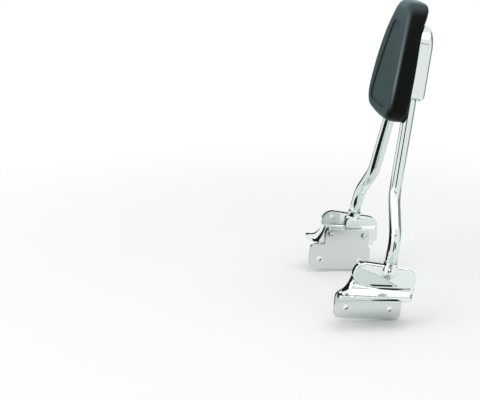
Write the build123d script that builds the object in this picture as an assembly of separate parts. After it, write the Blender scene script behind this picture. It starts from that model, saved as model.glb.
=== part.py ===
import os
from math import cos, radians, sin, sqrt, tan

from build123d import *

# A passenger backrest bar for a motorcycle. It is drawn upright: X across the machine
# (left is +X), Y to the rear of the bar's own plane, Z along the bar from the bracket
# seats. At the end it is leaned back and its origin goes to the front strut-bolt axis.
# Lengths are millimetres and angles are degrees.

# Stance on the machine
rake = 11.0                 # lean of the bar to the rear
seat_fall = 5.0             # fall of the bracket seats to the rear

# Clearances
slip_gap = 0.15             # radial, tube in its socket
press_gap = 0.05            # radial, plug in the tube
thread_gap = 0.05           # radial, screw in a tapped hole
hole_gap = 0.3              # radial, screw through a plain hole
rest_gap = 0.2              # tube to the pad's board
layer_gap = 0.3             # pad skin to the board's upper end
pocket_gap = 0.6            # round a washer or an insert in its recess

# Strut interface
mount_half_span = 118.0     # middle of the bar to the outer face of a mount plate
strut_bolt_dia = 8.0
strut_bolt_gap = 0.4        # radial clearance of a strut-bolt hole
strut_bolt_pitch = 70.0
strut_bolt_drop = 26.0      # hole row below the seat
front_bolt_ahead = 52.0     # front hole ahead of the bar's axis

# Mount plates
plate_thick = 6.0
plate_margin = 18.0         # hole centre to the edge of the hanging leaf
plate_corner = 10.0
plate_edge = 0.7            # broken rim
tab_rise = 28.0             # tab behind the bracket, above the seat
tab_margin = 9.0            # screw centre to the side of the tab

# Bar tube
tube_od = 19.05
tube_wall = 1.65
leg_taper = 12.0            # each upper leg leans inwards
arch_radius = 25.4          # centre line of the arch
knee_half_span = 72.4       # middle of the bar to the upper bend
knee_rise = 146.0           # upper bend above the seat
jog_drop = 52.6             # upper bend to lower bend
jog_radius = 50.0           # centre line of the four jog bends
foot_splay = 6.25           # each foot leans outwards going down
foot_rise = 40.0            # tube end above the seat
socket_inset = 18.0         # mount plate to the centre of the tube end

# Plugs, bolts and washers of the feet
plug_length = 26.0
plug_thread = 22.0
leg_bolt_dia = 8.0
leg_bolt_inset = 2.0        # bolt axis inboard of the tube end
leg_bolt_reach = 18.0       # thread in the plug
leg_head_dia = 14.0
leg_head_height = 4.4
leg_head_round = 3.0
leg_hex = 5.0
leg_hex_deep = 2.6
leg_washer_od = 16.0
leg_washer_thick = 1.6
leg_seat_rise = 12.0        # washer's seat above the bracket seat

# Brackets
pill_length = 100.0
pill_height = 37.5
pill_depth = 12.0
pill_setback = 10.0         # mount plate to the back of the pill
pill_edge = 3.0
pill_ahead = 5.0            # middle of the pill ahead of the bar's axis
pill_rise = 32.0            # middle of the pill above the seat
boss_base_od = 24.4
boss_top_od = 21.2
boss_depth = 16.0           # tube in the socket
boss_waist = 3.0            # widest point above the tube end
spine_width = 30.0          # thickening behind the pill, under the socket
spine_rise = 46.0
spine_corner = 6.0
flange_thick = 6.0
flange_ahead = 73.5
flange_behind = 42.5
flange_width = 38.0
flange_corner = 8.0
toe_flat = 2.0              # straight stretch of the front end, outside its large inner round
flange_step = 1.5           # ledge between flange and skirt
waist_rise = 13.0           # hollow of the flared skirt
waist_ahead = 59.5
waist_behind = 48.0
waist_width = 24.5
neck_rise = 30.0            # skirt ends inside the pill
neck_ahead = 51.0
neck_behind = 44.0
neck_width = 20.0
side_trim = 2.0             # cast past the mount plate's side, then faced flat

# Screws that hold the mount plates on the brackets
screw_dia = 6.0
screw_head_dia = 10.5
screw_head_height = 3.3
screw_head_round = 2.2
screw_hex = 4.0
screw_hex_deep = 2.0
screw_reach = 14.0          # thread in the bracket
screw_tap_spare = 2.0       # tapped hole past the screw's end
screw_washer_od = 11.8
screw_washer_thick = 1.6
screw_pitch = 58.0
screw_ahead = 7.0           # middle of the pair ahead of the bar's axis
screw_rise = 17.0

# Backrest pad and its board
pad_half_width = 79.0
pad_height = 180.0
pad_over_arch = 48.2        # top of the pad above the arch's centre line
pad_side_radius = 340.0
pad_widest = 16.0           # widest level above the pad's lower corners
pad_low_bow = 4.5           # lower edge bows down in the middle
pad_top_corner = 36.5
pad_low_corner = 32.0
pad_thick = 30.0            # with the board
pad_edge = 10.0             # round of the front edge
pad_back_edge = 8.0         # round of the back edge
pad_crown_radius = 1500.0   # front, seen from the side
pad_crown_rise = 38.0       # foremost level above the pad's lower corners
board_thick = 5.0
board_inset = 0.6
board_edge = 4.0            # round of the board's back edge
board_short = 30.0          # board ends below the top of the pad
curl_radius = 125.0         # upper stretch of the back curls rearwards
curl_length = 63.0
panel_deep = 2.0            # sunken front panel
panel_low_half = 56.0
panel_top_half = 24.0
panel_low_margin = 13.5
panel_top_margin = 34.5
panel_low_corner = 13.0
panel_top_corner = 20.0

# Back cover
cover_wall = 1.2
cover_side_gap = 3.3        # tube to the inside of the flank
cover_rear_gap = 8.8        # tube to the inside of the rear wall
cover_drop = 71.4           # lower edge below the centre of the arch
cover_edge = 9.0
cover_corner = 4.0
cover_tube_gap = 1.0        # tube to the rolled lower lip
cover_pad_gap = 0.4         # cover to its recess in the curled board

# Plate between the legs, and the two bolts that clamp cover, plate and pad
web_thick = 3.0
web_low = 66.0              # lower edge below the centre of the arch
web_top = 2.0               # upper edge above the centre of the arch
web_weld = 5.0              # side edge inside the leg's centre line
bolt_pitch = 38.0
bolt_low = 54.0             # lower bolt below the centre of the arch
bolt_reach = 12.0           # bolt past the back of the board
spacer_od = 12.0
insert_od = 9.0
insert_flange_od = 18.0
insert_flange_thick = 1.6
insert_nose = 6.0           # barrel past the flange

# Values that follow from those above
tube_r = tube_od / 2
tube_ri = tube_r - tube_wall
taper = radians(leg_taper)
splay = radians(foot_splay)
seat_turn = rake - seat_fall
foot_x = mount_half_span + socket_inset
low_bend_z = knee_rise - jog_drop
low_bend_x = foot_x - (low_bend_z - foot_rise) * tan(splay)
apex_z = knee_rise + knee_half_span / tan(taper)
arch_z = apex_z - arch_radius / sin(taper)
pad_top_z = arch_z + arch_radius + pad_over_arch
pad_low_z = pad_top_z - pad_height
pad_back_y = -tube_r - rest_gap
pad_front_y = pad_back_y - pad_thick
board_front_y = pad_back_y - board_thick
cover_rear_y = tube_r + cover_rear_gap + cover_wall
web_back_y = pad_back_y + web_thick
bolt_levels = [arch_z - bolt_low, arch_z - bolt_low + bolt_pitch]
hole_front = (-front_bolt_ahead, -strut_bolt_drop)
hole_rear = (strut_bolt_pitch - front_bolt_ahead, -strut_bolt_drop)
screw_spots = [(-screw_ahead + side * screw_pitch / 2, screw_rise) for side in (-1, 1)]
base_align = (Align.CENTER, Align.CENTER, Align.MIN)
top_align = (Align.CENTER, Align.CENTER, Align.MAX)
pill_x = mount_half_span + pill_setback
leg_bolt_x = foot_x - leg_bolt_inset
foot_axis = Plane(
    origin=(foot_x, 0, foot_rise),
    x_dir=(cos(splay), 0, sin(splay)),
    z_dir=(-sin(splay), 0, cos(splay)),
).location


def leg_half_span(level):
    return (apex_z - level) * tan(taper)


def rear_plane(y):
    # Sketches drawn on it have x across and y up, and are extruded forwards.
    return Plane(origin=(0, y, 0), x_dir=(1, 0, 0), z_dir=(0, -1, 0))


def side_plane(x):
    # Sketches drawn on it have x to the rear and y up, and are extruded to the left.
    return Plane(origin=(x, 0, 0), x_dir=(0, 1, 0), z_dir=(1, 0, 0))


def on_seat(shape):
    return Rot(X=seat_turn) * shape


def ring(outer_dia, inner_dia, thick):
    hole = Cylinder(inner_dia / 2, thick, align=base_align)
    return Cylinder(outer_dia / 2, thick, align=base_align) - hole


def button_screw(dia, length, head_dia, head_height, head_round, hex_width, hex_deep):
    # The head stands on the level 0 and the shank hangs below it.
    head = Cylinder(head_dia / 2, head_height, align=base_align)
    head = fillet(head.edges().group_by(Axis.Z)[-1], head_round)
    key = RegularPolygon(hex_width / 2, 6, major_radius=False)
    head -= Pos(0, 0, head_height - hex_deep) * extrude(key, hex_deep)
    return head + Cylinder(dia / 2, length, align=top_align)


def bar_route():
    foot = (foot_x, 0, foot_rise)
    low_bend = (low_bend_x, 0, low_bend_z)
    knee = (knee_half_span, 0, knee_rise)
    other_side = [(-x, y, z) for x, y, z in (knee, low_bend, foot)]
    radii = [jog_radius, jog_radius, arch_radius, jog_radius, jog_radius]
    return FilletPolyline(foot, low_bend, knee, (0, 0, apex_z), *other_side, radius=radii)


def bar_rod(radius):
    route = bar_route()
    return sweep(Plane(origin=route @ 0, z_dir=route % 0) * Circle(radius), path=route)


def make_bar_tube():
    return bar_rod(tube_r) - bar_rod(tube_ri)


def make_tube_plug():
    plug = Cylinder(tube_ri - press_gap, plug_length, align=base_align)
    tapped = Cylinder(leg_bolt_dia / 2 + thread_gap, 2 * plug_thread)
    return foot_axis * plug - Pos(leg_bolt_x, 0, foot_rise) * tapped


def make_leg_washer():
    washer = ring(leg_washer_od, leg_bolt_dia + 2 * hole_gap, leg_washer_thick)
    return Pos(leg_bolt_x, 0, leg_seat_rise - leg_washer_thick) * washer


def make_leg_bolt():
    length = leg_washer_thick + foot_rise - leg_seat_rise + leg_bolt_reach
    bolt = button_screw(
        leg_bolt_dia, length, leg_head_dia, leg_head_height, leg_head_round, leg_hex, leg_hex_deep
    )
    return Pos(leg_bolt_x, 0, leg_seat_rise - leg_washer_thick) * Rot(X=180) * bolt


def skirt_section(level, ahead, behind, width):
    inner, outer = mount_half_span - side_trim, mount_half_span + width
    corners = [(inner, -ahead), (outer, -ahead), (outer, behind), (inner, behind)]
    toe_round = outer - inner - flange_corner - toe_flat
    radii = [toe_round, flange_corner, flange_corner, flange_corner]
    return Pos(0, 0, level) * make_face(FilletPolyline(*corners, radius=radii, close=True))


def make_bracket():
    pill_face = Pos(-pill_ahead, pill_rise) * SlotOverall(pill_length, pill_height)
    pill = extrude(side_plane(pill_x) * pill_face, pill_depth)
    pill = fillet(pill.faces().sort_by(Axis.X)[-1].edges(), pill_edge)

    boss = Cone(boss_base_od / 2, boss_top_od / 2, boss_depth - boss_waist, align=base_align)
    boss = foot_axis * Pos(0, 0, boss_waist) * (boss + Sphere(boss_base_od / 2))

    spine_face = RectangleRounded(spine_width, spine_rise, spine_corner, align=(Align.CENTER, Align.MIN))
    spine = extrude(side_plane(mount_half_span) * spine_face, pill_setback + pill_depth / 2)

    flange = extrude(skirt_section(0, flange_ahead, flange_behind, flange_width), flange_thick)
    ledge = [size - flange_step for size in (flange_ahead, flange_behind, flange_width)]
    skirt = loft([
        skirt_section(flange_thick, *ledge),
        skirt_section(waist_rise, waist_ahead, waist_behind, waist_width),
        skirt_section(neck_rise, neck_ahead, neck_behind, neck_width),
    ])
    trim = Pos(mount_half_span, 0, 0) * Box(
        2 * flange_width, 4 * flange_ahead, 4 * flange_ahead, align=(Align.MAX, Align.CENTER, Align.CENTER)
    )
    bracket = pill + boss + spine + on_seat(flange + skirt - trim)

    socket = Cylinder(tube_r + slip_gap, boss_depth, align=base_align)
    shank_hole = Cylinder(leg_bolt_dia / 2 + hole_gap, foot_rise, align=base_align)
    recess = Cylinder(leg_washer_od / 2 + pocket_gap, 2 * leg_seat_rise, align=top_align)
    bracket -= foot_axis * socket
    bracket -= Pos(leg_bolt_x, 0, leg_seat_rise) * (shank_hole + recess)

    tapped = Cylinder(screw_dia / 2 + thread_gap, screw_reach + screw_tap_spare, align=base_align)
    for y, z in screw_spots:
        bracket -= on_seat(Pos(mount_half_span, y, z) * Rot(Y=90) * tapped)
    return bracket


def make_mount_plate():
    leaf_length = strut_bolt_pitch + 2 * plate_margin
    leaf_height = strut_bolt_drop + plate_margin
    tab_length = screw_pitch + 2 * tab_margin
    leaf = RectangleRounded(leaf_length, leaf_height, plate_corner, align=(Align.CENTER, Align.MAX))
    tab_height = tab_rise + 2 * plate_corner
    tab = RectangleRounded(tab_length, tab_height, plate_corner, align=(Align.CENTER, Align.MAX))
    outline = Pos(strut_bolt_pitch / 2 - front_bolt_ahead, 0) * leaf
    outline += Pos(-screw_ahead, tab_rise) * tab
    for y, z in (hole_front, hole_rear):
        outline -= Pos(y, z) * Circle(strut_bolt_dia / 2 + strut_bolt_gap)
    for y, z in screw_spots:
        outline -= Pos(y, z) * Circle(screw_dia / 2 + hole_gap)
    plate = extrude(side_plane(mount_half_span - plate_thick) * outline, plate_thick)
    faces = plate.faces().sort_by(Axis.X)
    rims = faces[0].outer_wire().edges() + faces[-1].outer_wire().edges()
    return on_seat(fillet(rims, plate_edge))


def at_plate_screws(shape):
    # Both copies stand on the inboard face of the mount plate and point inboard.
    inboard_x = mount_half_span - plate_thick
    return [on_seat(Pos(inboard_x, y, z) * Rot(Y=-90) * shape) for y, z in screw_spots]


def make_plate_washers():
    return Compound(at_plate_screws(ring(screw_washer_od, screw_dia + 2 * hole_gap, screw_washer_thick)))


def make_plate_screws():
    length = screw_washer_thick + plate_thick + screw_reach
    screw = button_screw(
        screw_dia, length, screw_head_dia, screw_head_height, screw_head_round, screw_hex, screw_hex_deep
    )
    return Compound(at_plate_screws(Pos(0, 0, screw_washer_thick) * screw))


def pad_outline(inset):
    low, top = pad_low_z + inset, pad_top_z - inset
    radius = pad_side_radius - inset
    widest = pad_low_z + pad_widest

    def half_width(level):
        return pad_half_width - pad_side_radius + sqrt(radius**2 - (level - widest) ** 2)

    middle = (low + top) / 2
    corners = [(side * half_width(level), level) for level in (low, top) for side in (1, -1)]
    low_right, low_left, top_right, top_left = corners
    outline = make_face([
        ThreePointArc(low_left, (0, low - pad_low_bow), low_right),
        ThreePointArc(low_right, (half_width(middle), middle), top_right),
        Line(top_right, top_left),
        ThreePointArc(top_left, (-half_width(middle), middle), low_left),
    ])
    outline = fillet(outline.vertices().group_by(Axis.Y)[0], pad_low_corner - inset)
    return fillet(outline.vertices().group_by(Axis.Y)[-1], pad_top_corner - inset)


def pad_block(inset):
    # The outline of the pad, deep enough to be cut to any side view.
    outline = rear_plane(pad_back_y + pad_thick) * pad_outline(inset)
    return extrude(outline, 3 * pad_thick)


def behind_pad_layer(offset):
    # All that lies behind a layer of the pad, which is the pad's back moved forwards by
    # the offset: straight below, curled rearwards above.
    y = pad_back_y - offset
    curl_z = pad_top_z - curl_length
    below = Pos(0, y, curl_z) * Box(
        4 * pad_half_width, curl_radius, pad_height, align=(Align.CENTER, Align.MIN, Align.MAX)
    )
    curl = Pos(0, pad_back_y + curl_radius, curl_z) * Rot(Y=90) * Cylinder(
        curl_radius + offset, 4 * pad_half_width
    )
    return below + curl


def before_pad_front(offset):
    # All that lies ahead of the crowned front, or of a layer at that depth below it.
    crown_z = pad_low_z + pad_crown_rise
    crown = Pos(0, pad_front_y + pad_crown_radius, crown_z) * Rot(Y=90) * Cylinder(
        pad_crown_radius - offset, 4 * pad_half_width
    )
    ahead = Pos(0, pad_front_y + pad_thick, crown_z) * Box(
        2 * pad_half_width, 4 * pad_thick, 2 * pad_height, align=(Align.CENTER, Align.MAX, Align.CENTER)
    )
    return ahead - crown


def make_pad_board():
    form = pad_block(board_inset) - behind_pad_layer(0)
    form = fillet(form.faces().sort_by(Axis.Y)[-1].edges(), board_edge)
    end_z = pad_top_z - board_short - layer_gap
    board = form & behind_pad_layer(board_thick)
    board -= Pos(0, 0, end_z) * Box(4 * pad_half_width, 4 * pad_thick, pad_height, align=base_align)
    for level in bolt_levels:
        board -= Pos(0, 0, level) * Rot(X=90) * Cylinder(insert_od / 2 + thread_gap, 4 * pad_thick)
    return board - cover_form(-cover_pad_gap, pad_back_y)


def make_backrest_pad():
    step_z = pad_top_z - board_short
    board_space = behind_pad_layer(board_thick) - Pos(0, 0, step_z) * Box(
        4 * pad_half_width, 4 * curl_radius, pad_height, align=base_align
    )
    pad = pad_block(0) - behind_pad_layer(0) - before_pad_front(0)
    front = pad.faces().sort_by(Axis.Y)[0]
    pad = fillet(front.edges(), pad_edge)
    pad = fillet(pad.faces().sort_by(Axis.Y)[-1].edges(), pad_back_edge) - board_space

    panel_low = pad_low_z + panel_low_margin
    panel_top = pad_top_z - panel_top_margin
    panel = Polygon(
        (-panel_low_half, panel_low), (panel_low_half, panel_low),
        (panel_top_half, panel_top), (-panel_top_half, panel_top), align=None,
    )
    panel = fillet(panel.vertices().group_by(Axis.Y)[0], panel_low_corner)
    panel = fillet(panel.vertices().group_by(Axis.Y)[-1], panel_top_corner)
    panel = rear_plane(pad_front_y + pad_thick / 2) * panel
    pad -= extrude(panel, pad_thick) & before_pad_front(panel_deep)

    pocket_deep = insert_flange_thick + insert_nose + pocket_gap
    pocket = Cylinder(insert_flange_od / 2 + pocket_gap, pocket_deep, align=base_align)
    for level in bolt_levels:
        pad -= Pos(0, board_front_y, level) * Rot(X=90) * pocket
    return pad


def at_backrest_bolts(y, shape):
    # Local up points to the rear.
    return [Pos(0, y, level) * Rot(X=-90) * shape for level in bolt_levels]


def make_pad_inserts():
    barrel = Cylinder(insert_od / 2, board_thick + insert_flange_thick + insert_nose, align=top_align)
    flange = Cylinder(insert_flange_od / 2, insert_flange_thick, align=top_align)
    insert = barrel + Pos(0, 0, -board_thick) * flange
    insert -= Cylinder(screw_dia / 2 + thread_gap, 4 * pad_thick)
    return Compound(at_backrest_bolts(pad_back_y, insert))


def make_web_plate():
    low, top = arch_z - web_low, arch_z + web_top
    low_half, top_half = leg_half_span(low) - web_weld, leg_half_span(top) - web_weld
    web = Polygon((-low_half, low), (low_half, low), (top_half, top), (-top_half, top), align=None)
    for level in bolt_levels:
        web -= Pos(0, level) * Circle(screw_dia / 2 + hole_gap)
    return extrude(rear_plane(web_back_y) * web, web_thick) - bar_rod(tube_r)


def cover_form(inset, front_y):
    side = tube_r + cover_side_gap + cover_wall - inset
    radius = arch_radius + side
    low = arch_z - cover_drop + inset
    low_half = leg_half_span(low) + side / cos(taper)
    shoulder_x, shoulder_z = radius * cos(taper), arch_z + radius * sin(taper)
    outline = make_face([
        Polyline((-shoulder_x, shoulder_z), (-low_half, low), (low_half, low), (shoulder_x, shoulder_z)),
        ThreePointArc((shoulder_x, shoulder_z), (0, arch_z + radius), (-shoulder_x, shoulder_z)),
    ])
    outline = fillet(outline.vertices().group_by(Axis.Y)[0], cover_corner - inset)
    rear_y = cover_rear_y - inset
    form = extrude(rear_plane(rear_y) * outline, rear_y - front_y)
    return fillet(form.faces().sort_by(Axis.Y)[-1].edges(), cover_edge - inset)


def make_back_cover():
    # The bottom is open from the front as far as the legs, and a rolled lip is left behind them.
    cover = cover_form(0, pad_back_y) - cover_form(cover_wall, pad_back_y - cover_wall)
    low = arch_z - cover_drop
    side = tube_r + cover_side_gap
    inner_half = leg_half_span(low) + side / cos(taper)
    cover -= Pos(0, tube_r + cover_tube_gap, low) * Box(
        2 * inner_half, 2 * tube_od, 2 * cover_corner, align=(Align.CENTER, Align.MAX, Align.CENTER)
    )
    bolt_hole = Rot(X=90) * Cylinder(screw_dia / 2 + hole_gap, 4 * cover_wall)
    for level in bolt_levels:
        cover -= Pos(0, cover_rear_y, level) * bolt_hole
    return cover


def make_cover_spacers():
    length = cover_rear_y - cover_wall - web_back_y
    return Compound(at_backrest_bolts(web_back_y, ring(spacer_od, screw_dia + 2 * hole_gap, length)))


def make_backrest_washers():
    washer = ring(screw_washer_od, screw_dia + 2 * hole_gap, screw_washer_thick)
    return Compound(at_backrest_bolts(cover_rear_y, washer))


def make_backrest_bolts():
    head_y = cover_rear_y + screw_washer_thick
    length = head_y - pad_back_y + bolt_reach
    bolt = button_screw(
        screw_dia, length, screw_head_dia, screw_head_height, screw_head_round, screw_hex, screw_hex_deep
    )
    return Compound(at_backrest_bolts(head_y, bolt))


def place(shape):
    turn = radians(seat_turn)
    hole_y = hole_front[0] * cos(turn) - hole_front[1] * sin(turn)
    hole_z = hole_front[0] * sin(turn) + hole_front[1] * cos(turn)
    return Rot(X=-rake) * Pos(0, -hole_y, -hole_z) * shape


def main():
    middle_pieces = {
        "bar_tube": make_bar_tube(),
        "pad_mount_plate": make_web_plate(),
        "backrest_pad": make_backrest_pad(),
        "pad_base": make_pad_board(),
        "pad_inserts": make_pad_inserts(),
        "back_cover": make_back_cover(),
        "cover_spacers": make_cover_spacers(),
        "backrest_washers": make_backrest_washers(),
        "backrest_bolts": make_backrest_bolts(),
    }
    left_pieces = {
        "bracket": make_bracket(),
        "mount_plate": make_mount_plate(),
        "plate_washers": make_plate_washers(),
        "plate_screws": make_plate_screws(),
        "tube_plug": make_tube_plug(),
        "leg_washer": make_leg_washer(),
        "leg_bolt": make_leg_bolt(),
    }
    os.makedirs("parts", exist_ok=True)
    for name, shape in middle_pieces.items():
        export_step(place(shape), f"parts/{name}.step")
    for name, shape in left_pieces.items():
        export_step(place(shape), f"parts/left_{name}.step")
        export_step(place(mirror(shape, about=Plane.YZ)), f"parts/right_{name}.step")


main()
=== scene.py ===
import math

import bmesh
import bpy
from mathutils import Matrix, Vector


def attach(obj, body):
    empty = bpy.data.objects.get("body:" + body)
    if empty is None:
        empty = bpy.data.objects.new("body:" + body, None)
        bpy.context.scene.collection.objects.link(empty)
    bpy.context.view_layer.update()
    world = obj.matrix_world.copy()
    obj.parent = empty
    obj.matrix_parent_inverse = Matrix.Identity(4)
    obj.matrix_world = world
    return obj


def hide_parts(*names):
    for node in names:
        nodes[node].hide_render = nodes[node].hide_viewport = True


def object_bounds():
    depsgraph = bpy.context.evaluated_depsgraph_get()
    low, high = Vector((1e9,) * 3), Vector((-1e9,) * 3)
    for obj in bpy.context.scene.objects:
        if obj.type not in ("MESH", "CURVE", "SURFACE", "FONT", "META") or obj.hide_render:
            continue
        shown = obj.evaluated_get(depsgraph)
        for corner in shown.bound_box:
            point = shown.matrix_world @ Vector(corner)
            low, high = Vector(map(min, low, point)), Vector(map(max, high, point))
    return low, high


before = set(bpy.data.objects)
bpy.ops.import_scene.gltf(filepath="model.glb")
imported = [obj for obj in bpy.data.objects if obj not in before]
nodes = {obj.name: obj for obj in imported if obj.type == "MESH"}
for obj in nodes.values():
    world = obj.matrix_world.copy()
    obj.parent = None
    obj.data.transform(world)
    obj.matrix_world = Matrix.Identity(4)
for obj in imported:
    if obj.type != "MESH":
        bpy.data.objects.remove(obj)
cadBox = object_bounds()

mm = 0.001
scene = bpy.context.scene
print("frame: nodes loaded", len(nodes))


# Stance of the bar: how it leans and where its mounting bolts pass
stance = {
    "rakeDeg": 11.0,        # lean of the bar to the rear
    "seatFallDeg": 5.0,     # fall of the bracket seats to the rear
    "boltAheadMm": 52.0,    # front mounting bolt ahead of the bar's axis
    "boltDropMm": 26.0,     # and below the bracket seats
}
seatTurn = Matrix.Rotation(math.radians(stance["rakeDeg"] - stance["seatFallDeg"]), 4, "X")
frontBolt = seatTurn @ Vector((0, -stance["boltAheadMm"] * mm, -stance["boltDropMm"] * mm))
barToRow = Matrix.Rotation(math.radians(-stance["rakeDeg"]), 4, "X") @ Matrix.Translation(-frontBolt)
seatToRow = barToRow @ seatTurn


# Small helpers
mergeMm = 0.002     # corners of a copied mesh that lie closer than this are one


def hexColour(text):
    parts = [int(text[i:i + 2], 16) / 255 for i in (1, 3, 5)]
    linear = [p / 12.92 if p <= 0.04045 else ((p + 0.055) / 1.055) ** 2.4 for p in parts]
    return (*linear, 1.0)


def addNode(tree, kind, links=None, **settings):
    # links: input name or index to a plain value, or to (node, output name or index)
    node = tree.nodes.new(kind)
    for name, value in settings.items():
        setattr(node, name, value)
    for name, source in (links or {}).items():
        if isinstance(source, tuple) and isinstance(source[0], bpy.types.Node):
            tree.links.new(source[0].outputs[source[1]], node.inputs[name])
        else:
            node.inputs[name].default_value = source
    return node


def newMaterial(name):
    material = bpy.data.materials.new(name)
    material.use_nodes = True
    material.node_tree.nodes.clear()
    return material, material.node_tree


def newObject(name, mesh):
    piece = bpy.data.objects.new(name, mesh)
    scene.collection.objects.link(piece)
    return piece


def bakeModifiers(piece):
    # turns what the modifiers make into the piece's own plain mesh
    evaluated = piece.evaluated_get(bpy.context.evaluated_depsgraph_get())
    mesh = bpy.data.meshes.new_from_object(evaluated)
    piece.modifiers.clear()
    piece.data = mesh


def copyOfNode(nodeName, pieceName):
    mesh = nodes[nodeName].data.copy()
    mesh.materials.clear()
    work = bmesh.new()
    work.from_mesh(mesh)
    bmesh.ops.remove_doubles(work, verts=work.verts, dist=mergeMm * mm)
    work.to_mesh(mesh)
    work.free()
    if mesh.has_custom_normals:
        mesh.attributes.remove(mesh.attributes["custom_normal"])
    return newObject(pieceName, mesh)


def recast(piece, grain):
    # an even skin of small faces whose corners are then softened, as in a mould
    voxels = piece.modifiers.new("voxels", "REMESH")
    voxels.mode = "VOXEL"
    voxels.voxel_size = grain["voxelMm"] * mm
    voxels.use_smooth_shade = True
    soften = piece.modifiers.new("soften", "SMOOTH")
    soften.factor = grain["softenBy"]
    soften.iterations = grain["softenTimes"]
    bakeModifiers(piece)


def dress(piece, material, replacedNode):
    piece.data.materials.clear()
    piece.data.materials.append(material)
    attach(piece, "root")
    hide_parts(replacedNode)


def paintNode(nodeName, material):
    for slot in nodes[nodeName].material_slots:
        slot.material = material


# Nickel-chrome plate, electroplated on polished steel and die castings: a near mirror that carries
# the room, with the slow waviness of hand polishing and a faint haze
chromeLooks = {
    "chromePlatedTube": {
        "tint": "#dce6e5", "waveMm": 30.0, "waveLiftMm": 0.05, "hazeLow": 0.03, "hazeHigh": 0.07,
    },
    "chromePressedSteel": {
        "tint": "#dfe7e6", "waveMm": 36.0, "waveLiftMm": 0.10, "hazeLow": 0.09, "hazeHigh": 0.14,
    },
    "chromeDieCast": {
        "tint": "#e8efee", "waveMm": 22.0, "waveLiftMm": 0.10, "hazeLow": 0.03, "hazeHigh": 0.08,
    },
    "chromeCutPlate": {
        "tint": "#d9dfdd", "waveMm": 14.0, "waveLiftMm": 0.05, "hazeLow": 0.08, "hazeHigh": 0.16,
    },
    "chromeFastener": {
        "tint": "#d8dedc", "waveMm": 6.0, "waveLiftMm": 0.02, "hazeLow": 0.06, "hazeHigh": 0.12,
    },
}
chromeHaze = {"patchMm": 9.0, "detail": 4.0, "clearBelow": 0.35, "fullAbove": 0.7}


def makeChrome(name):
    look = chromeLooks[name]
    material, tree = newMaterial(name)
    coords = addNode(tree, "ShaderNodeTexCoord")
    wave = addNode(tree, "ShaderNodeTexNoise", {
        "Vector": (coords, "Object"), "Scale": 1 / (look["waveMm"] * mm), "Detail": 0.0,
    })
    bump = addNode(tree, "ShaderNodeBump", {
        "Height": (wave, 0), "Strength": 1.0, "Distance": look["waveLiftMm"] * mm,
    })
    haze = addNode(tree, "ShaderNodeTexNoise", {
        "Vector": (coords, "Object"), "Scale": 1 / (chromeHaze["patchMm"] * mm),
        "Detail": chromeHaze["detail"],
    })
    hazeRange = addNode(tree, "ShaderNodeMapRange", {
        "Value": (haze, 0), "From Min": chromeHaze["clearBelow"], "From Max": chromeHaze["fullAbove"],
        "To Min": look["hazeLow"], "To Max": look["hazeHigh"],
    })
    shader = addNode(tree, "ShaderNodeBsdfPrincipled", {
        "Base Color": hexColour(look["tint"]), "Metallic": 1.0,
        "Roughness": (hazeRange, "Result"), "Normal": (bump, "Normal"),
    })
    addNode(tree, "ShaderNodeOutputMaterial", {"Surface": (shader, "BSDF")})
    return material


# Bright zinc on turned steel: satin, greyer than chrome, with a faint bluish mottle
zincLook = {"pale": "#b9bfc4", "dark": "#9ba1a8", "mottleMm": 3.0, "detail": 3.0, "roughness": 0.32}


def makeZinc():
    material, tree = newMaterial("zincPlatedSteel")
    coords = addNode(tree, "ShaderNodeTexCoord")
    mottle = addNode(tree, "ShaderNodeTexNoise", {
        "Vector": (coords, "Object"), "Scale": 1 / (zincLook["mottleMm"] * mm),
        "Detail": zincLook["detail"],
    })
    colour = addNode(tree, "ShaderNodeMix", {
        0: (mottle, 0), 6: hexColour(zincLook["dark"]), 7: hexColour(zincLook["pale"]),
    }, data_type="RGBA")
    shader = addNode(tree, "ShaderNodeBsdfPrincipled", {
        "Base Color": (colour, 2), "Metallic": 1.0, "Roughness": zincLook["roughness"],
    })
    addNode(tree, "ShaderNodeOutputMaterial", {"Surface": (shader, "BSDF")})
    return material


# Polyurethane skin moulded over foam: matte black with a fine leather-like pebble, a bluish bloom
# at a slant, and a smoother front edge that carries a painted highlight, a pale cyan colour
skinLook = {
    # the third colour is a painted highlight for the round of the front edge and the top
    "base": "#040606", "worn": "#070a0a", "paintedHighlight": "#607072",
    "pebbleMm": 1.1, "pebbleLiftMm": 0.08, "pebbleStrength": 0.6, "patchMm": 40.0, "detail": 3.0,
    "roughLow": 0.47, "roughHigh": 0.56, "roughOnHighlight": 0.37, "shine": 0.09,
    "bloom": 0.48, "bloomTint": "#b3e3e8", "bloomRough": 0.30,
}


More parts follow.
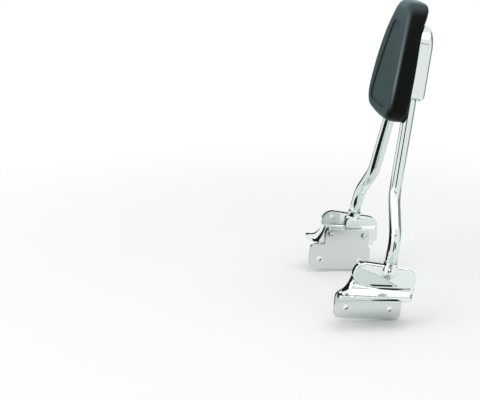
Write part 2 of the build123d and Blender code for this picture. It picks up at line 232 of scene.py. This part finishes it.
def makeSkin():
    material, tree = newMaterial("mouldedUrethaneSkin")
    coords = addNode(tree, "ShaderNodeTexCoord")
    pebble = addNode(tree, "ShaderNodeTexVoronoi", {
        "Vector": (coords, "Object"), "Scale": 1 / (skinLook["pebbleMm"] * mm),
    }, feature="SMOOTH_F1")
    bump = addNode(tree, "ShaderNodeBump", {
        "Height": (pebble, "Distance"), "Strength": skinLook["pebbleStrength"],
        "Distance": skinLook["pebbleLiftMm"] * mm,
    }, invert=True)
    patch = addNode(tree, "ShaderNodeTexNoise", {
        "Vector": (coords, "Object"), "Scale": 1 / (skinLook["patchMm"] * mm),
        "Detail": skinLook["detail"],
    })
    colour = addNode(tree, "ShaderNodeMix", {
        0: (patch, 0), 6: hexColour(skinLook["base"]), 7: hexColour(skinLook["worn"]),
    }, data_type="RGBA")
    rough = addNode(tree, "ShaderNodeMapRange", {
        "Value": (patch, 0), "To Min": skinLook["roughLow"], "To Max": skinLook["roughHigh"],
    })
    # painted highlight: the mark mixes in the pale highlight colour and a lower roughness
    paintedHighlight = addNode(tree, "ShaderNodeAttribute", attribute_name="paintedEdgeHighlight")
    highlightColour = addNode(tree, "ShaderNodeMix", {
        0: (paintedHighlight, "Fac"), 6: (colour, 2), 7: hexColour(skinLook["paintedHighlight"]),
    }, data_type="RGBA")
    edgeRough = addNode(tree, "ShaderNodeMix", {
        0: (paintedHighlight, "Fac"), 2: (rough, "Result"), 3: skinLook["roughOnHighlight"],
    })
    shader = addNode(tree, "ShaderNodeBsdfPrincipled", {
        "Base Color": (highlightColour, 2), "Roughness": (edgeRough, 0), "Normal": (bump, "Normal"),
        "Specular IOR Level": skinLook["shine"], "Sheen Weight": skinLook["bloom"],
        "Sheen Tint": hexColour(skinLook["bloomTint"]), "Sheen Roughness": skinLook["bloomRough"],
    })
    addNode(tree, "ShaderNodeOutputMaterial", {"Surface": (shader, "BSDF")})
    return material


# Black ABS board, injection moulded with a spark-eroded texture: dull, with a fine even grain
boardLook = {
    "base": "#060707", "roughness": 0.5, "shine": 0.12,
    "grainMm": 0.8, "grainLiftMm": 0.04, "grainStrength": 0.5, "detail": 2.0,
}


def makeBoard():
    material, tree = newMaterial("mouldedAbsBoard")
    coords = addNode(tree, "ShaderNodeTexCoord")
    grain = addNode(tree, "ShaderNodeTexNoise", {
        "Vector": (coords, "Object"), "Scale": 1 / (boardLook["grainMm"] * mm),
        "Detail": boardLook["detail"],
    })
    bump = addNode(tree, "ShaderNodeBump", {
        "Height": (grain, 0), "Strength": boardLook["grainStrength"],
        "Distance": boardLook["grainLiftMm"] * mm,
    })
    shader = addNode(tree, "ShaderNodeBsdfPrincipled", {
        "Base Color": hexColour(boardLook["base"]), "Roughness": boardLook["roughness"],
        "Normal": (bump, "Normal"), "Specular IOR Level": boardLook["shine"],
    })
    addNode(tree, "ShaderNodeOutputMaterial", {"Surface": (shader, "BSDF")})
    return material


tubeChrome = makeChrome("chromePlatedTube")
coverChrome = makeChrome("chromePressedSteel")
castChrome = makeChrome("chromeDieCast")
plateChrome = makeChrome("chromeCutPlate")
boltChrome = makeChrome("chromeFastener")
zincSteel = makeZinc()
padSkin = makeSkin()
boardPlastic = makeBoard()
print("materials: made")


# The bent bar: one tube along a route of straight runs and bends
bar = {
    "tubeOdMm": 19.05, "tubeWallMm": 1.65, "legTaperDeg": 12.0, "archRadiusMm": 25.4,
    "kneeHalfSpanMm": 72.4, "kneeRiseMm": 146.0, "jogDropMm": 52.6, "jogRadiusMm": 50.0,
    "footSplayDeg": 6.25, "footHalfSpanMm": 136.0, "footRiseMm": 40.0, "bendSteps": 24, "sides": 64,
}


def apexRise():
    # where the two legs would meet if the arch had no bend
    return bar["kneeRiseMm"] + bar["kneeHalfSpanMm"] / math.tan(math.radians(bar["legTaperDeg"]))


def barCorners():
    # half span, rise and bend radius at each corner of the route, from the left foot to the right
    lowRise = bar["kneeRiseMm"] - bar["jogDropMm"]
    splay = math.tan(math.radians(bar["footSplayDeg"]))
    lowSpan = bar["footHalfSpanMm"] - (lowRise - bar["footRiseMm"]) * splay
    left = [
        (bar["footHalfSpanMm"], bar["footRiseMm"], 0.0),
        (lowSpan, lowRise, bar["jogRadiusMm"]),
        (bar["kneeHalfSpanMm"], bar["kneeRiseMm"], bar["jogRadiusMm"]),
    ]
    right = [(-span, rise, bend) for span, rise, bend in reversed(left)]
    return [*left, (0.0, apexRise(), bar["archRadiusMm"]), *right]


def newTree(name, inputs, output):
    tree = bpy.data.node_groups.new(name, "GeometryNodeTree")
    for inputName, kind in inputs.items():
        tree.interface.new_socket(inputName, in_out="INPUT", socket_type="NodeSocket" + kind)
    tree.interface.new_socket(output, in_out="OUTPUT", socket_type="NodeSocketGeometry")
    return tree


def tubeTree():
    tree = newTree("bentTube", {
        "Route": "Geometry", "Tube Radius": "Float", "Bend Steps": "Int", "Sides": "Int",
        "Finish": "Material",
    }, "Tube")
    given = addNode(tree, "NodeGroupInput")
    bends = addNode(tree, "GeometryNodeInputNamedAttribute", {"Name": "bendRadius"}, data_type="FLOAT")
    route = addNode(tree, "GeometryNodeMeshToCurve", {"Mesh": (given, "Route")})
    bent = addNode(tree, "GeometryNodeFilletCurve", {
        "Curve": (route, "Curve"), "Count": (given, "Bend Steps"), "Radius": (bends, "Attribute"),
    }, mode="POLY")
    section = addNode(tree, "GeometryNodeCurvePrimitiveCircle", {
        "Resolution": (given, "Sides"), "Radius": (given, "Tube Radius"),
    })
    skin = addNode(tree, "GeometryNodeCurveToMesh", {
        "Curve": (bent, "Curve"), "Profile Curve": (section, "Curve"),
    })
    smooth = addNode(tree, "GeometryNodeSetShadeSmooth", {"Geometry": (skin, "Mesh")})
    real = addNode(tree, "GeometryNodeRealizeInstances", {"Geometry": (smooth, "Geometry")})
    finish = addNode(tree, "GeometryNodeSetMaterial", {
        "Geometry": (real, "Geometry"), "Material": (given, "Finish"),
    })
    addNode(tree, "NodeGroupOutput", {"Tube": (finish, "Geometry")})
    return tree


def runTree(piece, tree, values):
    # sets each named input by its socket's identifier, before the piece is first evaluated
    modifier = piece.modifiers.new(tree.name, "NODES")
    modifier.node_group = tree
    for item in tree.interface.items_tree:
        if item.in_out == "INPUT" and item.name in values:
            modifier[item.identifier] = values[item.name]


def buildBar():
    corners = barCorners()
    mesh = bpy.data.meshes.new("barTube")
    points = [barToRow @ Vector((span * mm, 0, rise * mm)) for span, rise, _ in corners]
    mesh.from_pydata(points, [(i, i + 1) for i in range(len(points) - 1)], [])
    bends = mesh.attributes.new("bendRadius", "FLOAT", "POINT")
    bends.data.foreach_set("value", [bend * mm for _, _, bend in corners])
    piece = newObject("bentBar", mesh)
    runTree(piece, tubeTree(), {
        "Tube Radius": bar["tubeOdMm"] / 2 * mm, "Bend Steps": bar["bendSteps"],
        "Sides": bar["sides"], "Finish": tubeChrome,
    })
    wall = piece.modifiers.new("wall", "SOLIDIFY")
    wall.thickness = bar["tubeWallMm"] * mm
    wall.offset = -1.0
    bakeModifiers(piece)
    dress(piece, tubeChrome, "bar_tube")


buildBar()
print("bar: bent tube swept")


# The backrest pad: a moulded foam block with a sunken front panel
pad = {
    "voxelMm": 0.95, "softenTimes": 3, "softenBy": 0.5,
    "lowRiseMm": 258.0, "topRiseMm": 438.0, "midDepthMm": -12.0,
    # the roll of the upper front and, less, of the nape behind it
    "crownFromMm": 54.0, "crownToMm": 22.0, "crownDeepMm": 14.0, "crownTimes": 380,
    "napeFromMm": 26.0, "napeToMm": 10.0, "napeShare": 0.2,
    # the sunken panel, which is neither rolled nor given the painted highlight
    "panelLowHalfMm": 56.0, "panelTopHalfMm": 24.0, "panelLowMm": 13.5, "panelHighMm": 132.0,
    "panelRimMm": 5.0,
    # the painted highlight on the front edge: by a face's lean from the front, its turn sideways,
    # down and up, and its height over the pad's foot
    "highlightFromDeg": 4.0, "highlightFullDeg": 34.0, "backFromDeg": 95.0, "backToDeg": 130.0,
    "flankFrom": 0.58, "flankTo": 0.83, "underFrom": -0.6, "underFull": -0.2,
    "topShare": 0.27, "topFrom": 0.02, "topFull": 0.5, "footFromMm": 15.0, "footFullMm": 56.0,
}


def ramp(value, start, end):
    return max(0.0, min(1.0, (value - start) / (end - start)))


def inPanel(spot):
    # true on the sunken panel and on the rim round it
    rim = pad["panelRimMm"]
    level = (spot.z - pad["lowRiseMm"] - pad["panelLowMm"]) / pad["panelHighMm"]
    half = pad["panelLowHalfMm"] + (pad["panelTopHalfMm"] - pad["panelLowHalfMm"]) * level
    slack = rim / pad["panelHighMm"]
    return abs(spot.x) < half + rim and -slack < level < 1 + slack


def rollCrown(piece):
    # the upper front corners of the pad are rolled over more than its other edges
    toBar = barToRow.inverted()
    group = piece.vertex_groups.new(name="crown")
    for vertex in piece.data.vertices:
        spot = toBar @ vertex.co / mm
        drop = pad["topRiseMm"] - spot.z
        ahead = ramp(spot.y, pad["midDepthMm"], pad["midDepthMm"] - pad["crownDeepMm"])
        crown = ahead * ramp(drop, pad["crownFromMm"], pad["crownToMm"])
        nape = pad["napeShare"] * ramp(drop, pad["napeFromMm"], pad["napeToMm"])
        if max(crown, nape) > 0 and not inPanel(spot):
            group.add([vertex.index], max(crown, nape), "REPLACE")
    soften = piece.modifiers.new("roll", "SMOOTH")
    soften.factor = pad["softenBy"]
    soften.iterations = pad["crownTimes"]
    soften.vertex_group = group.name
    bakeModifiers(piece)
    piece.vertex_groups.clear()


def markPaintedHighlight(mesh):
    # one on the round of the front edge, less on the top, nought on the front, flanks, foot and panel
    # the mark is a painted highlight on the skin, which also makes it smoother there
    toBar = barToRow.inverted()
    toBarTurn = toBar.to_3x3()
    marks = []
    for vertex in mesh.vertices:
        spot = toBar @ vertex.co / mm
        facing = toBarTurn @ vertex.normal
        lean = math.degrees(facing.angle(Vector((0, -1, 0))))
        paintedHighlight = ramp(lean, pad["highlightFromDeg"], pad["highlightFullDeg"])
        paintedHighlight *= ramp(abs(facing.x), pad["flankTo"], pad["flankFrom"])
        paintedHighlight *= ramp(lean, pad["backToDeg"], pad["backFromDeg"])
        paintedHighlight *= ramp(facing.z, pad["underFrom"], pad["underFull"])
        paintedHighlight *= ramp(spot.z - pad["lowRiseMm"], pad["footFromMm"], pad["footFullMm"])
        paintedHighlight *= 1 - (1 - pad["topShare"]) * ramp(facing.z, pad["topFrom"], pad["topFull"])
        marks.append(0.0 if inPanel(spot) else paintedHighlight)
    mesh.attributes.new("paintedEdgeHighlight", "FLOAT", "POINT").data.foreach_set("value", marks)


def buildPad():
    piece = copyOfNode("backrest_pad", "mouldedPad")
    recast(piece, pad)
    rollCrown(piece)
    markPaintedHighlight(piece.data)
    dress(piece, padSkin, "backrest_pad")
    print("pad: faces", len(piece.data.polygons))
    return piece


padPiece = buildPad()


# The brackets: die castings with soft corners
casting = {
    "voxelMm": 0.6, "softenTimes": 6, "softenBy": 0.5,
    "pillLongMm": 100.0, "pillHighMm": 37.5, "pillAheadMm": 5.0, "pillRiseMm": 32.0,
    "pillFaceMm": 140.0, "domeMm": 1.1, "domeDeepMm": 6.0,
    "domeReach": 1.02,      # share of the pill's half lengths, just past its rim
}


def domePill(mesh, sign):
    # the flat face falls away a little towards its rim, so that its mirror image bends
    toBar = barToRow.inverted()
    for vertex in mesh.vertices:
        spot = toBar @ vertex.co / mm
        depth = casting["pillFaceMm"] - sign * spot.x
        across = (spot.y + casting["pillAheadMm"]) / (casting["pillLongMm"] / 2)
        upwards = (spot.z - casting["pillRiseMm"]) / (casting["pillHighMm"] / 2)
        if depth < casting["domeDeepMm"] and max(abs(across), abs(upwards)) < casting["domeReach"]:
            hold = 1 - depth / casting["domeDeepMm"]
            vertex.co.x -= sign * casting["domeMm"] * mm * min(1.0, across**2 + upwards**2) * hold


def buildBracket(side):
    piece = copyOfNode(side + "bracket", side + "castBracket")
    recast(piece, casting)
    domePill(piece.data, 1 if side == "left_" else -1)
    dress(piece, castChrome, side + "bracket")
    print("bracket:", side, "faces", len(piece.data.polygons))


for side in ("left_", "right_"):
    buildBracket(side)


# Button-head screws with a hex key hole, set on their places by one tree
screw = {
    "threadMm": 6.0, "headMm": 10.5, "headHighMm": 3.3, "headRoundMm": 2.2,
    "keyMm": 4.0, "keyDeepMm": 2.0, "chamferMm": 0.5, "sides": 36, "roundSteps": 6,
    "largestTurnDeg": 60.0, "seed": 7, "sharpDeg": 35.0,
}
screwSets = {
    "plate": {
        "lengthMm": 21.6, "pitchMm": 58.0, "aheadMm": 7.0, "riseMm": 17.0, "faceMm": 112.0, "washerMm": 1.6,
    },
    "backrest": {"lengthMm": 42.85, "lowMm": 54.0, "pitchMm": 38.0, "faceMm": 19.525, "washerMm": 1.6},
}


def screwPattern(lengthMm):
    # rings of points from the tip up over the head and down into the key hole
    def circle(across):
        return lambda angle: across / 2

    def hexagon(across):
        return lambda angle: across / 2 / math.cos(angle % (math.pi / 3) - math.pi / 6)

    thread, head, key = screw["threadMm"], screw["headMm"], screw["keyMm"]
    high, bend, chamfer = screw["headHighMm"], screw["headRoundMm"], screw["chamferMm"]
    rings = [
        (circle(thread - 2 * chamfer), -lengthMm), (circle(thread), chamfer - lengthMm),
        (circle(thread), 0), (circle(head), 0),
    ]
    for step in range(screw["roundSteps"] + 1):
        angle = math.pi / 2 * step / screw["roundSteps"]
        inset = bend - bend * math.cos(angle)
        rings.append((circle(head - 2 * inset), high - bend + bend * math.sin(angle)))
    rings.append((hexagon(key + chamfer), high))
    rings.append((hexagon(key), high - chamfer / 2))
    rings.append((hexagon(key), high - screw["keyDeepMm"]))
    work = bmesh.new()
    loops = []
    angles = [2 * math.pi * i / screw["sides"] for i in range(screw["sides"])]
    for reach, level in rings:
        spots = [Vector((reach(a) * math.cos(a), reach(a) * math.sin(a), level)) for a in angles]
        loops.append([work.verts.new(spot * mm) for spot in spots])
    for low, top in zip(loops, loops[1:]):
        for i in range(screw["sides"]):
            j = (i + 1) % screw["sides"]
            work.faces.new((low[i], low[j], top[j], top[i]))
    work.faces.new(reversed(loops[0]))
    work.faces.new(loops[-1])
    mesh = bpy.data.meshes.new("screwPattern")
    work.to_mesh(mesh)
    work.free()
    return newObject("screwPattern", mesh)


def fastenerTree():
    tree = newTree("fastenersOnPlaces", {
        "Places": "Geometry", "Pattern": "Object", "Largest Turn": "Float", "Seed": "Int",
        "Finish": "Material",
    }, "Fasteners")
    given = addNode(tree, "NodeGroupInput")
    pointing = addNode(tree, "GeometryNodeInputNamedAttribute", {
        "Name": "pointing",
    }, data_type="FLOAT_VECTOR")
    pattern = addNode(tree, "GeometryNodeObjectInfo", {"Object": (given, "Pattern")})
    upright = addNode(tree, "FunctionNodeAlignRotationToVector", {
        "Vector": (pointing, "Attribute"),
    }, axis="Z")
    chance = addNode(tree, "FunctionNodeRandomValue", {
        "Max": (given, "Largest Turn"), "Seed": (given, "Seed"),
    }, data_type="FLOAT")
    clocked = addNode(tree, "FunctionNodeAxisAngleToRotation", {"Axis": (0, 0, 1), "Angle": (chance, 1)})
    turned = addNode(tree, "FunctionNodeRotateRotation", {
        "Rotation": (upright, 0), "Rotate By": (clocked, 0),
    }, rotation_space="LOCAL")
    placed = addNode(tree, "GeometryNodeInstanceOnPoints", {
        "Points": (given, "Places"), "Instance": (pattern, "Geometry"), "Rotation": (turned, 0),
    })
    real = addNode(tree, "GeometryNodeRealizeInstances", {"Geometry": (placed, "Instances")})
    finish = addNode(tree, "GeometryNodeSetMaterial", {
        "Geometry": (real, "Geometry"), "Material": (given, "Finish"),
    })
    addNode(tree, "NodeGroupOutput", {"Fasteners": (finish, "Geometry")})
    return tree


def buildScrews(tree, nodeName, lengthMm, places, pointing):
    pattern = screwPattern(lengthMm)
    mesh = bpy.data.meshes.new(nodeName)
    mesh.from_pydata(places, [], [])
    directions = mesh.attributes.new("pointing", "FLOAT_VECTOR", "POINT")
    directions.data.foreach_set("vector", [*pointing] * len(places))
    piece = newObject(nodeName + "Set", mesh)
    runTree(piece, tree, {
        "Pattern": pattern, "Largest Turn": math.radians(screw["largestTurnDeg"]),
        "Seed": screw["seed"], "Finish": boltChrome,
    })
    bakeModifiers(piece)
    bpy.data.objects.remove(pattern)
    piece.data.shade_smooth()
    piece.data.set_sharp_from_angle(angle=math.radians(screw["sharpDeg"]))
    dress(piece, boltChrome, nodeName)


def buildAllScrews():
    tree = fastenerTree()
    plate, backrest = screwSets["plate"], screwSets["backrest"]
    for side, sign in (("left_", 1), ("right_", -1)):
        face = sign * (plate["faceMm"] - plate["washerMm"])
        spots = [(face, end * plate["pitchMm"] / 2 - plate["aheadMm"], plate["riseMm"]) for end in (-1, 1)]
        places = [seatToRow @ (Vector(spot) * mm) for spot in spots]
        buildScrews(tree, side + "plate_screws", plate["lengthMm"], places, Vector((-sign, 0, 0)))
    archRise = apexRise() - bar["archRadiusMm"] / math.sin(math.radians(bar["legTaperDeg"]))
    levels = [archRise - backrest["lowMm"], archRise - backrest["lowMm"] + backrest["pitchMm"]]
    face = backrest["faceMm"] + backrest["washerMm"]
    places = [barToRow @ (Vector((0, face, level)) * mm) for level in levels]
    rearwards = barToRow.to_3x3() @ Vector((0, 1, 0))
    buildScrews(tree, "backrest_bolts", backrest["lengthMm"], places, rearwards)


buildAllScrews()
print("screws: set on plates and cover")


# Pieces that keep their solid shape and take a finish
finishes = {
    "pad_mount_plate": tubeChrome, "back_cover": coverChrome, "pad_base": boardPlastic,
    "pad_inserts": zincSteel, "cover_spacers": zincSteel, "backrest_washers": boltChrome,
}
sideFinishes = {
    "mount_plate": plateChrome, "plate_washers": boltChrome,
    "tube_plug": zincSteel, "leg_washer": zincSteel, "leg_bolt": zincSteel,
}
for name, material in finishes.items():
    paintNode(name, material)
for side in ("left_", "right_"):
    for name, material in sideFinishes.items():
        paintNode(side + name, material)
print("finishes: painted")


# Studio: a pale floor that fades into a white surround
studio = {
    "floorSizeM": 30.0, "floorDropMm": 0.3, "floorTint": "#f4f5f5", "fadeNearM": 0.35, "fadeFarM": 1.1,
    "surround": 1.0, "fillLight": 0.72,
}


def buildFloor():
    half = studio["floorSizeM"] / 2
    level = cadBox[0].z - studio["floorDropMm"] * mm
    corners = [(-half, -half, level), (half, -half, level), (half, half, level), (-half, half, level)]
    mesh = bpy.data.meshes.new("floor")
    mesh.from_pydata(corners, [], [(0, 1, 2, 3)])
    floor = newObject("floor", mesh)
    material, tree = newMaterial("palePaperFloor")
    coords = addNode(tree, "ShaderNodeTexCoord")
    reach = addNode(tree, "ShaderNodeVectorMath", {0: (coords, "Object")}, operation="LENGTH")
    fade = addNode(tree, "ShaderNodeMapRange", {
        "Value": (reach, "Value"), "From Min": studio["fadeNearM"], "From Max": studio["fadeFarM"],
    }, interpolation_type="SMOOTHSTEP")
    paper = addNode(tree, "ShaderNodeBsdfDiffuse", {"Color": hexColour(studio["floorTint"])})
    white = addNode(tree, "ShaderNodeEmission", {"Color": (1, 1, 1, 1), "Strength": studio["surround"]})
    mix = addNode(tree, "ShaderNodeMixShader", {0: (fade, "Result"), 1: (paper, 0), 2: (white, 0)})
    addNode(tree, "ShaderNodeOutputMaterial", {"Surface": (mix, 0)})
    mesh.materials.append(material)


def buildSurround():
    world = bpy.data.worlds.new("whiteSurround")
    scene.world = world
    world.use_nodes = True
    tree = world.node_tree
    tree.nodes.clear()
    path = addNode(tree, "ShaderNodeLightPath")
    seen = addNode(tree, "ShaderNodeMath", {
        0: (path, "Is Camera Ray"), 1: (path, "Is Glossy Ray"),
    }, operation="MAXIMUM")
    direct = addNode(tree, "ShaderNodeMath", {
        0: (seen, 0), 1: (path, "Is Transmission Ray"),
    }, operation="MAXIMUM")
    level = addNode(tree, "ShaderNodeMapRange", {
        "Value": (direct, 0), "To Min": studio["fillLight"], "To Max": studio["surround"],
    })
    back = addNode(tree, "ShaderNodeBackground", {"Color": (1, 1, 1, 1), "Strength": (level, "Result")})
    addNode(tree, "ShaderNodeOutputWorld", {"Surface": (back, "Background")})


buildFloor()
buildSurround()

# Soft lamps: two light everything, and two the pad alone, so that the chrome's reflections stay
lamps = {
    "keySoftbox": {
        "at": (0.6, -1.6, 1.9), "size": (2.0, 2.0), "watts": 18.0, "tint": "#ffffff", "padOnly": False,
    },
    "topSoftbox": {
        "at": (0.3, 0.6, 2.2), "size": (1.4, 1.4), "watts": 10.0, "tint": "#ffffff", "padOnly": False,
    },
    "edgeSoftbox": {
        "at": (-0.45, -1.7, 0.5), "size": (0.5, 1.2), "watts": 18.0, "tint": "#d3eef1", "padOnly": True,
    },
    "crownSoftbox": {
        "at": (-1.0, 0.2, 1.1), "size": (0.8, 0.8), "watts": 0.9, "tint": "#bfe6ea", "padOnly": True,
    },
}
lampAim = Vector((0, 0.1, 0.3))


def hangLamps():
    padLit = bpy.data.collections.new("padLit")
    padLit.objects.link(padPiece)
    for name, lamp in lamps.items():
        light = bpy.data.lights.new(name, "AREA")
        light.energy = lamp["watts"]
        light.color = hexColour(lamp["tint"])[:3]
        light.shape = "RECTANGLE"
        light.size, light.size_y = lamp["size"]
        holder = bpy.data.objects.new(name, light)
        scene.collection.objects.link(holder)
        holder.location = lamp["at"]
        holder.rotation_mode = "QUATERNION"
        holder.rotation_quaternion = (lampAim - Vector(lamp["at"])).to_track_quat("-Z", "Y")
        if lamp["padOnly"]:
            holder.light_linking.receiver_collection = padLit


hangLamps()

# Dark and grey sheets round the object that only the chrome sees, as flags in a photo studio.
# A flag is a flat sheet that spans a range of azimuth, from +X to +Y, and of height over the
# horizon, as seen from flagMiddle.
flags = {
    "nearStrip": {
        "azimuthDeg": -12, "widthDeg": 19, "lowDeg": -4, "highDeg": 24, "reachM": 2.6, "grey": "#080909",
    },
    "frontStrip": {
        "azimuthDeg": -80, "widthDeg": 15, "lowDeg": -4, "highDeg": 24, "reachM": 1.5, "grey": "#303434",
    },
    "rearStrip": {
        "azimuthDeg": 102, "widthDeg": 44, "lowDeg": -13, "highDeg": 45, "reachM": 0.95, "grey": "#8f9595",
    },
    "farFront": {
        "azimuthDeg": 191, "widthDeg": 30, "lowDeg": -10, "highDeg": 10, "reachM": 1.2, "grey": "#0a0b0b",
    },
    "brow": {
        "azimuthDeg": -5, "widthDeg": 70, "lowDeg": 34, "highDeg": 37, "reachM": 2.2, "grey": "#1a1c1c",
    },
}
# A block is a box between two corners in metres, and fan moves its end at +X along Y.
blocks = {
    "aheadLow": {"low": (-0.078, -0.34, -0.02), "high": (0.125, -0.035, 0.19), "grey": "#1c1f1f"},
    "farWall": {"low": (-0.26, -0.01, 0.05), "high": (-0.25, 0.21, 0.40), "grey": "#101212"},
    "nearCard": {"low": (0.44, 0.095, 0.105), "high": (0.45, 0.225, 0.22), "grey": "#101212"},
    "pillMat": {
        "low": (0.20, -0.12, -0.0249), "high": (1.1, 0.107, -0.0245), "fan": -0.045, "grey": "#dfe5e4",
    },
    "sideMat": {"low": (0.155, 0.005, 0.003), "high": (0.185, 0.06, 0.004), "grey": "#1c1f1f"},
    "sideScrap": {"low": (0.195, 0.045, 0.003), "high": (0.21, 0.085, 0.004), "grey": "#1c1f1f"},
    "batten": {
        "low": (0.20, 0.107, -0.0249), "high": (1.1, 0.110, -0.0245), "fan": -0.045, "grey": "#8f9595",
    },
}
flagMiddle = Vector((0.0, 0.08, 0.2))


def hangFlag(name, points, faces, grey):
    mesh = bpy.data.meshes.new(name)
    mesh.from_pydata(points, [], faces)
    piece = newObject(name, mesh)
    material, tree = newMaterial(name + "Paint")
    paint = addNode(tree, "ShaderNodeEmission", {"Color": hexColour(grey)})
    addNode(tree, "ShaderNodeOutputMaterial", {"Surface": (paint, 0)})
    mesh.materials.append(material)
    piece.visible_camera = False
    piece.visible_diffuse = False
    piece.visible_shadow = False
    piece.visible_transmission = False      # so only glossy rays meet it


def buildFlags():
    for name, flag in flags.items():
        points = []
        for rise in (flag["lowDeg"], flag["highDeg"]):
            for side in (-1, 1):
                turn = math.radians(flag["azimuthDeg"] + side * flag["widthDeg"] / 2)
                up = math.radians(rise)
                aim = Vector((math.cos(turn) * math.cos(up), math.sin(turn) * math.cos(up), math.sin(up)))
                points.append(flagMiddle + aim * flag["reachM"])
        hangFlag(name, points, [(0, 1, 3, 2)], flag["grey"])
    for name, block in blocks.items():
        ends = [block["low"], block["high"]]
        corners = [(i, j, k) for i in (0, 1) for j in (0, 1) for k in (0, 1)]
        fan = block.get("fan", 0.0)
        points = [(ends[i][0], ends[j][1] + i * fan, ends[k][2]) for i, j, k in corners]
        sides = [(0, 1, 3, 2), (4, 6, 7, 5), (0, 4, 5, 1), (2, 3, 7, 6), (0, 2, 6, 4), (1, 5, 7, 3)]
        hangFlag(name, points, sides, block["grey"])


buildFlags()
print("studio: floor, surround, lamps and flags")


# Camera at the photograph's angle
lens = {
    "azimuthDeg": 83.295, "elevationDeg": 16.605, "focalMm": 94.04, "sensorMm": 36.0,
    "atM": (1.89627, -0.37329, 0.71261),
}
turn, rise = math.radians(lens["azimuthDeg"]), math.radians(lens["elevationDeg"])
towards = Vector((math.sin(turn) * math.cos(rise), -math.cos(turn) * math.cos(rise), math.sin(rise)))
cameraData = bpy.data.cameras.new("photoCamera")
cameraData.lens = lens["focalMm"]
cameraData.sensor_width = lens["sensorMm"]
camera = bpy.data.objects.new("photoCamera", cameraData)
scene.collection.objects.link(camera)
camera.location = lens["atM"]
camera.rotation_mode = "QUATERNION"
camera.rotation_quaternion = (-towards).to_track_quat("-Z", "Y")
scene.camera = camera
scene.view_settings.view_transform = "Standard"
